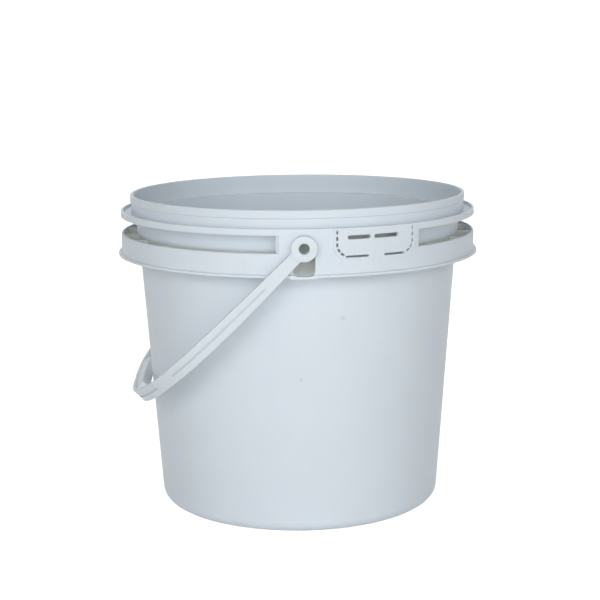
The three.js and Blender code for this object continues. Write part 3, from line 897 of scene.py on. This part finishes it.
def grooves(tree, plastic):
    """The line down the middle of the outer face, left plain where the arms meet the grip."""
    tops = angles_at_reach(GROOVE_START)
    ends = angles_at_reach(GROOVE_END)
    spans = ((tops[0], ends[0]), angles_at_side(GRIP_GROOVE_HALF_LENGTH), (ends[1], tops[1]))
    return [
        hoop_bar(
            "groove", tree, plastic, start, end, -GROOVE_DEPTH, 2 * GROOVE_DEPTH, GROOVE_WIDTH, 0,
            GROOVE_STEPS,
        )
        for start, end in spans
    ]


def pivot_end(sign):
    """The disc with its hollow pin and snap barb, revolved about the pivot axis."""
    back = BAND_INNER - PIN_CLEARANCE
    tip = BAND_INNER - PIN_REACH
    barb = PIN_RADIUS + BARB_HEIGHT
    solid = revolve(rounded([
        (0, tip, 0), (PIN_RADIUS, tip, SOFT_EDGE),
        (PIN_RADIUS, back - BARB_LENGTH, 0), (barb, back, SOFT_EDGE / 2), (PIN_RADIUS, back, 0),
        (PIN_RADIUS, DISC_INNER_FACE, 0), (DISC_RADIUS, DISC_INNER_FACE, SOFT_EDGE),
        (DISC_RADIUS, DISC_OUTER_FACE, DISC_EDGE), (0, DISC_OUTER_FACE, 0),
    ]), PIN_AROUND)
    quarter = Matrix.Rotation(-sign * math.pi / 2, 3, "X")
    bmesh.ops.rotate(solid, verts=solid.verts, cent=(0, 0, 0), matrix=quarter)
    return new_object("pivot_end", solid)


def block(name, centre, size):
    bm = bmesh.new()
    placed = Matrix.Translation(centre) @ Matrix.Diagonal((*size, 1))
    bmesh.ops.create_cube(bm, size=1, matrix=placed)
    return new_object(name, bm)


def pivot_cutters(sign):
    """The pin's bore and its cross slots, and the step where the arm ends on the disc."""
    tip = BAND_INNER - PIN_REACH
    slot_depth = 2 * (BAND_INNER - PIN_CLEARANCE - tip)
    wide = 2 * (PIN_RADIUS + BARB_HEIGHT) + REACH_OUT
    bore = revolve(rounded([
        (0, tip - REACH_OUT, 0), (PIN_BORE_RADIUS, tip - REACH_OUT, 0),
        (PIN_BORE_RADIUS, DISC_OUTER_FACE - SOFT_EDGE, SOFT_EDGE),
        (PIN_BORE_RADIUS + 2 * SOFT_EDGE, DISC_OUTER_FACE + SOFT_EDGE, 0),
        (0, DISC_OUTER_FACE + SOFT_EDGE, 0),
    ]), PIN_AROUND)
    quarter = Matrix.Rotation(-sign * math.pi / 2, 3, "X")
    bmesh.ops.rotate(bore, verts=bore.verts, cent=(0, 0, 0), matrix=quarter)
    step = (0, sign * (DISC_OUTER_FACE + REACH_OUT / 2), 0)
    return [
        new_object("bore", bore),
        block("pin_slot", (0, sign * tip, 0), (wide, slot_depth, PIN_SLOT)),
        block("pin_slot", (0, sign * tip, 0), (PIN_SLOT, slot_depth, wide)),
        block("arm_end", step, (2 * ARM_START, REACH_OUT, 2 * STRAP_WIDTH)),
    ]


def rest_angle():
    """The angle below horizontal at which the hanging handle's grip lies by the wall."""
    reach = HOOP_REACH - STRAP_THICKNESS - GRIP_DEPTH
    along = reach + WALL_TAPER * GRIP_WIDTH / 2
    across = WALL_TAPER * reach - GRIP_WIDTH / 2
    gap = wall_radius(PIVOT_HEIGHT) + REST_CLEARANCE
    return math.atan2(across, along) + math.acos(gap / math.hypot(along, across))


def make_handle(plastic):
    tree = hoop_tree()
    start, end = angles_at_reach(ARM_START - ARM_ROOT)
    handle = hoop_bar(
        "swing_handle", tree, plastic, start, end, 0, STRAP_THICKNESS, STRAP_WIDTH, STRAP_EDGE,
    )
    start, end = angles_at_side(GRIP_HALF_LENGTH)
    grip = hoop_bar(
        "grip", tree, plastic, start, end, STRAP_THICKNESS / 2,
        STRAP_THICKNESS / 2 + GRIP_DEPTH, GRIP_WIDTH, GRIP_EDGE, GRIP_STEPS,
    )
    combine(handle, [grip, pivot_end(1), pivot_end(-1)], "UNION")
    cutters = [*grooves(tree, plastic), *pivot_cutters(1), *pivot_cutters(-1)]
    combine(handle, cutters, "DIFFERENCE")
    hang = Matrix.Rotation(math.pi - rest_angle(), 4, "Y")
    handle.data.transform(Matrix.Translation((0, 0, PIVOT_HEIGHT * MM)) @ hang)
    finish_mesh(handle, HANDLE_CREASE)
    return handle


# The plastic


def remap(value, low, high, start=0.0, end=1.0):
    """Runs from start to end as the value goes from low to high, and holds beyond them."""
    node = value.tree.nodes.new("ShaderNodeMapRange")
    value.tree.links.new(value.socket, node.inputs["Value"])
    node.inputs["From Min"].default_value = low
    node.inputs["From Max"].default_value = high
    node.inputs["To Min"].default_value = start
    node.inputs["To Max"].default_value = end
    return Field(value.tree, node.outputs["Result"])


def within(value, limits):
    """0 where something is absent, 1 where it is full, by two limits in millimetres."""
    absent, full = limits
    return remap(value, absent * MM, full * MM)


def distance(tree, place, point):
    """How far each spot of the surface lies from a point, in metres."""
    node = tree.nodes.new("ShaderNodeVectorMath")
    node.operation = "DISTANCE"
    tree.links.new(place, node.inputs[0])
    node.inputs[1].default_value = point
    return Field(tree, node.outputs["Value"])


def noise(tree, place, scale, detail):
    node = tree.nodes.new("ShaderNodeTexNoise")
    node.inputs["Scale"].default_value = scale
    node.inputs["Detail"].default_value = detail
    tree.links.new(place, node.inputs["Vector"])
    return Field(tree, node.outputs["Fac"])


def waves(tree, place, pitch, **settings):
    """Slightly wavering lines at an even pitch in millimetres."""
    node = tree.nodes.new("ShaderNodeTexWave")
    for name, value in settings.items():
        setattr(node, name, value)
    node.inputs["Scale"].default_value = math.tau / (WAVE_TEXTURE_RATE * pitch * MM)
    node.inputs["Distortion"].default_value = WAVE_WOBBLE
    tree.links.new(place, node.inputs["Vector"])
    return Field(tree, node.outputs["Fac"])


def blend(share, colour, other):
    """Mixes a colour with a share of another."""
    node = share.tree.nodes.new("ShaderNodeMix")
    node.data_type = "RGBA"
    colours = [slot for slot in node.inputs if slot.type == "RGBA"]
    share.tree.links.new(share.socket, node.inputs[0])
    share.tree.links.new(colour, colours[0])
    colours[1].default_value = other
    return [slot for slot in node.outputs if slot.type == "RGBA"][0]


def mottled(mottle, colour):
    """The colour, a little deeper where the mottle is low."""
    tint = mottle.tree.nodes.new("ShaderNodeValToRGB")
    deep, pale = tint.color_ramp.elements
    deep.position, pale.position = MOTTLE_RANGE
    deep.color = (*[part * MOTTLE_SHADE for part in colour], 1)
    pale.color = (*colour, 1)
    mottle.tree.links.new(mottle.socket, tint.inputs["Fac"])
    return tint.outputs["Color"]


def painted_shade_behind_band(along, across, height):
    """Painted shade in the gap between band and shell: a darker, warmer grey standing in for the
    dim light that has come through the plastic.

    It ends at the band's top, but goes on up to the flange behind the pivot panels.
    """
    radius = (along * along + across * across).apply("SQRT")
    shell = radius - height * WALL_TAPER
    sideways = along * across.sign()
    behind_band = within(height, GAP_BAND_TOP)
    behind_panel = within(sideways, GAP_PANEL_FROM) * within(sideways, GAP_PANEL_TO)
    behind_panel = behind_panel * within(height, GAP_PANEL_TOP)
    gap = within(radius, GAP_OUTER) * within(shell, GAP_INNER) * within(height, GAP_LOW)
    return gap * behind_band.apply("MAXIMUM", behind_panel)


def turned_marks(tree, place, along, height):
    """Shallow rings about the pivot, on the band beside it."""
    centred = tree.nodes.new("ShaderNodeVectorMath")
    centred.operation = "SUBTRACT"
    tree.links.new(place, centred.inputs[0])
    centred.inputs[1].default_value = (0, 0, PIVOT_HEIGHT * MM)
    marks = waves(
        tree, centred.outputs["Vector"], TURNED_PITCH, wave_type="RINGS", rings_direction="Y",
    )
    rise = height - PIVOT_HEIGHT * MM
    reach = (along * along + rise * rise).apply("SQRT")
    marks = marks * within(reach, TURNED_INNER) * within(reach, TURNED_OUTER)
    return marks * within(height, TURNED_LOW) * within(height, TURNED_HIGH)


def moulded_plastic(name, colour, roughness, gap_painted_shade_share):
    """Polypropylene: slightly translucent, faintly mottled, with fine tool marks, and with painted
    shade in the gap behind the band where a share is given.
    """
    material = bpy.data.materials.new(name)
    material.use_nodes = True
    tree = material.node_tree
    shader = tree.nodes["Principled BSDF"]
    shader.inputs["IOR"].default_value = REFRACTIVE_INDEX
    shader.inputs["Specular IOR Level"].default_value = SHEEN_LEVEL
    shader.inputs["Subsurface Weight"].default_value = TRANSLUCENCY
    shader.inputs["Subsurface Radius"].default_value = GLOW_SPREAD
    shader.inputs["Subsurface Scale"].default_value = GLOW_DEPTH

    place = tree.nodes.new("ShaderNodeTexCoord").outputs["Object"]
    apart = tree.nodes.new("ShaderNodeSeparateXYZ")
    tree.links.new(place, apart.inputs[0])
    along, across, height = [Field(tree, out) for out in apart.outputs]

    mottle = noise(tree, place, MOTTLE_SCALE, MOTTLE_DETAIL)
    coloured = mottled(mottle, colour)
    for (x, y, z), size in SPECKS:
        away = distance(tree, place, (x * MM, y * MM, z * MM))
        coloured = blend(remap(away, 0, size * MM, SPECK_STRENGTH, 0), coloured, SPECK_COLOUR)
    # Painted shade: a darker, warmer grey in the gap behind the band, where only dim light comes
    # through the plastic
    gap = painted_shade_behind_band(along, across, height) * gap_painted_shade_share
    coloured = blend(gap, coloured, GAP_PAINTED_SHADE)
    tree.links.new(coloured, shader.inputs["Base Color"])
    dullness = remap(mottle, 0, 1, roughness - GLOSSIER, roughness + DULLER)
    tree.links.new(dullness.socket, shader.inputs["Roughness"])

    grain = noise(tree, place, GRAIN_SCALE, GRAIN_DETAIL)
    patches = noise(tree, place, TOOL_PATCH_SCALE, TOOL_PATCH_DETAIL)
    lines = waves(tree, place, TOOL_MARK_PITCH, wave_type="BANDS", bands_direction="Z")
    lines = lines * remap(patches, *TOOL_PATCH_LIMITS)
    turned = turned_marks(tree, place, along, height)
    relief = grain + lines * TOOL_MARK_DEPTH + turned * TURNED_DEPTH
    bump = tree.nodes.new("ShaderNodeBump")
    bump.inputs["Strength"].default_value = RELIEF_STRENGTH
    bump.inputs["Distance"].default_value = RELIEF_DEPTH
    tree.links.new(relief.socket, bump.inputs["Height"])
    tree.links.new(bump.outputs["Normal"], shader.inputs["Normal"])
    return material


pail_plastic = moulded_plastic("pail_polypropylene", PAIL_WHITE, PAIL_ROUGHNESS, GAP_PAINTED_SHADE_SHARE)
pail = make_pail(pail_plastic)
pail.data.materials.clear()
pail.data.materials.append(pail_plastic)
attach(pail, "pail")
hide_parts("pail_body")

handle_plastic = moulded_plastic("handle_polypropylene", HANDLE_WHITE, HANDLE_ROUGHNESS, 0)
handle = make_handle(handle_plastic)
handle.data.materials.clear()
handle.data.materials.append(handle_plastic)
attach(handle, "handle")
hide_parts("handle")


# The studio


def add_camera_white(tree, shader, strength):
    """Adds white that only camera, glossy and transmission rays see."""
    path = tree.nodes.new("ShaderNodeLightPath")
    seen = Field(tree, path.outputs["Is Camera Ray"])
    for kind in ("Is Glossy Ray", "Is Transmission Ray"):
        seen = seen.apply("MAXIMUM", Field(tree, path.outputs[kind]))
    glow = tree.nodes.new("ShaderNodeEmission")
    glow.inputs["Color"].default_value = WHITE
    tree.links.new((seen * strength).socket, glow.inputs["Strength"])
    both = tree.nodes.new("ShaderNodeAddShader")
    tree.links.new(shader, both.inputs[0])
    tree.links.new(glow.outputs[0], both.inputs[1])
    return both.outputs[0]


def make_floor():
    """A pale floor just under the foot ring, which shows shadow only near the pail."""
    bm = bmesh.new()
    bmesh.ops.create_grid(bm, x_segments=1, y_segments=1, size=FLOOR_HALF_WIDTH)
    bmesh.ops.translate(bm, verts=bm.verts, vec=(0, 0, -FLOOR_DROP))
    floor = new_object("floor", bm)
    material = bpy.data.materials.new("pale_floor")
    material.use_nodes = True
    tree = material.node_tree
    shader = tree.nodes["Principled BSDF"]
    shader.inputs["Base Color"].default_value = FLOOR_GREY
    shader.inputs["Roughness"].default_value = FLOOR_ROUGHNESS
    shader.inputs["Specular IOR Level"].default_value = 0
    place = tree.nodes.new("ShaderNodeTexCoord").outputs["Object"]
    fade = remap(distance(tree, place, (0, 0, 0)), *SHADOW_RING, FLOOR_GLOW, 1)
    output = tree.nodes["Material Output"]
    glowing = add_camera_white(tree, shader.outputs[0], fade)
    tree.links.new(glowing, output.inputs["Surface"])
    floor.data.materials.append(material)


def make_world():
    world = bpy.data.worlds.new("studio")
    bpy.context.scene.world = world
    world.use_nodes = True
    tree = world.node_tree
    background = tree.nodes["Background"]
    background.inputs["Strength"].default_value = AMBIENT
    background.inputs["Color"].default_value = WHITE
    output = tree.nodes["World Output"]
    white = add_camera_white(tree, background.outputs[0], 1)
    tree.links.new(white, output.inputs["Surface"])


def make_softbox(name, azimuth, elevation, watts):
    """A square lamp aimed at the pail, with its azimuth turning from the front to the right."""
    light = bpy.data.lights.new(name, "AREA")
    light.size = SOFTBOX_SIZE
    light.energy = watts
    lamp = bpy.data.objects.new(name, light)
    bpy.context.scene.collection.objects.link(lamp)
    turn, rise = math.radians(azimuth), math.radians(elevation)
    level = math.cos(rise)
    outwards = Vector((math.sin(turn) * level, -math.cos(turn) * level, math.sin(rise)))
    lamp.location = Vector(LIT_POINT) + SOFTBOX_DISTANCE * outwards
    lamp.rotation_euler = outwards.to_track_quat("Z", "Y").to_euler()


def make_camera():
    camera = bpy.data.cameras.new("camera")
    camera.sensor_width = SENSOR_WIDTH
    camera.lens = LENS
    holder = bpy.data.objects.new("camera", camera)
    bpy.context.scene.collection.objects.link(holder)
    turned = Matrix.Rotation(math.radians(CAMERA_AZIMUTH), 4, "Z")
    lowered = Matrix.Rotation(math.pi / 2 - math.radians(CAMERA_PITCH), 4, "X")
    rolled = Matrix.Rotation(math.radians(CAMERA_ROLL), 4, "Z")
    holder.matrix_world = Matrix.Translation(CAMERA_PLACE) @ turned @ lowered @ rolled
    bpy.context.scene.camera = holder


make_floor()
make_world()
for name, azimuth, elevation, watts in SOFTBOXES:
    make_softbox(name, azimuth, elevation, watts)
make_camera()
bpy.context.scene.view_settings.view_transform = "Standard"
